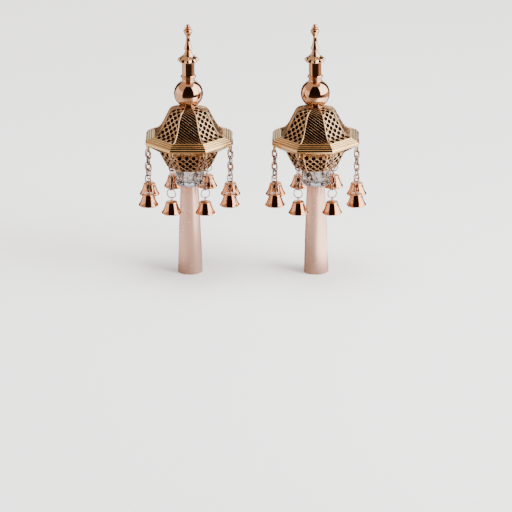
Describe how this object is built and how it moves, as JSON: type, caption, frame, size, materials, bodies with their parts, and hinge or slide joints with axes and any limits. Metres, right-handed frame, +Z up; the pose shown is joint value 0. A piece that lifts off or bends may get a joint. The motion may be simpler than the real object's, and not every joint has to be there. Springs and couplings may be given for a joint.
{
  "type": "pair of torah finials",
  "caption": "Pair of rose gold torah finials: flared sleeve, crystal collar, eight-sided openwork lantern with bells on chains, ball, petalled cap and turned spire",
  "frame": {"origin": "on the ground midway between the feet of the two sleeves", "axes": "+Z up along the finials, the pair side by side along X, fronts facing -Y"},
  "size_m": [0.2974, 0.1324, 0.34],
  "materials": {
    "rose_gold": "mirror polished rose gold plate",
    "satin_rose": "softly polished rose gold plate",
    "pale_gold": "polished pale gold plate",
    "openwork_gold": "cast openwork in gold plate, darker in its hollows",
    "copper": "mirror polished copper-coloured plate",
    "chain_wire": "polished wire, rose to silvery",
    "crystal": "clear cut crystal"
  },
  "bodies": {
    "root": {"left_sleeve": "satin_rose", "left_crystal_collar": "crystal", "left_openwork_bowl": "openwork_gold", "left_brim": "pale_gold", "left_openwork_roof": "openwork_gold", "left_ball": "rose_gold", "left_ball_collar": "rose_gold", "left_neck": "rose_gold", "left_petal_cap": "rose_gold", "left_spire": "rose_gold", "left_chain_1": "chain_wire", "left_bell_1": "copper", "left_chain_2": "chain_wire", "left_bell_2": "copper", "left_chain_3": "chain_wire", "left_bell_3": "copper", "left_chain_4": "chain_wire", "left_bell_4": "copper", "left_chain_5": "chain_wire", "left_bell_5": "copper", "left_chain_6": "chain_wire", "left_bell_6": "copper", "left_chain_7": "chain_wire", "left_bell_7": "copper", "left_chain_8": "chain_wire", "left_bell_8": "copper", "right_sleeve": "satin_rose", "right_crystal_collar": "crystal", "right_openwork_bowl": "openwork_gold", "right_brim": "pale_gold", "right_openwork_roof": "openwork_gold", "right_ball": "rose_gold", "right_ball_collar": "rose_gold", "right_neck": "rose_gold", "right_petal_cap": "rose_gold", "right_spire": "rose_gold", "right_chain_1": "chain_wire", "right_bell_1": "copper", "right_chain_2": "chain_wire", "right_bell_2": "copper", "right_chain_3": "chain_wire", "right_bell_3": "copper", "right_chain_4": "chain_wire", "right_bell_4": "copper", "right_chain_5": "chain_wire", "right_bell_5": "copper", "right_chain_6": "chain_wire", "right_bell_6": "copper", "right_chain_7": "chain_wire", "right_bell_7": "copper", "right_chain_8": "chain_wire", "right_bell_8": "copper"}
  },
  "joints": []
}
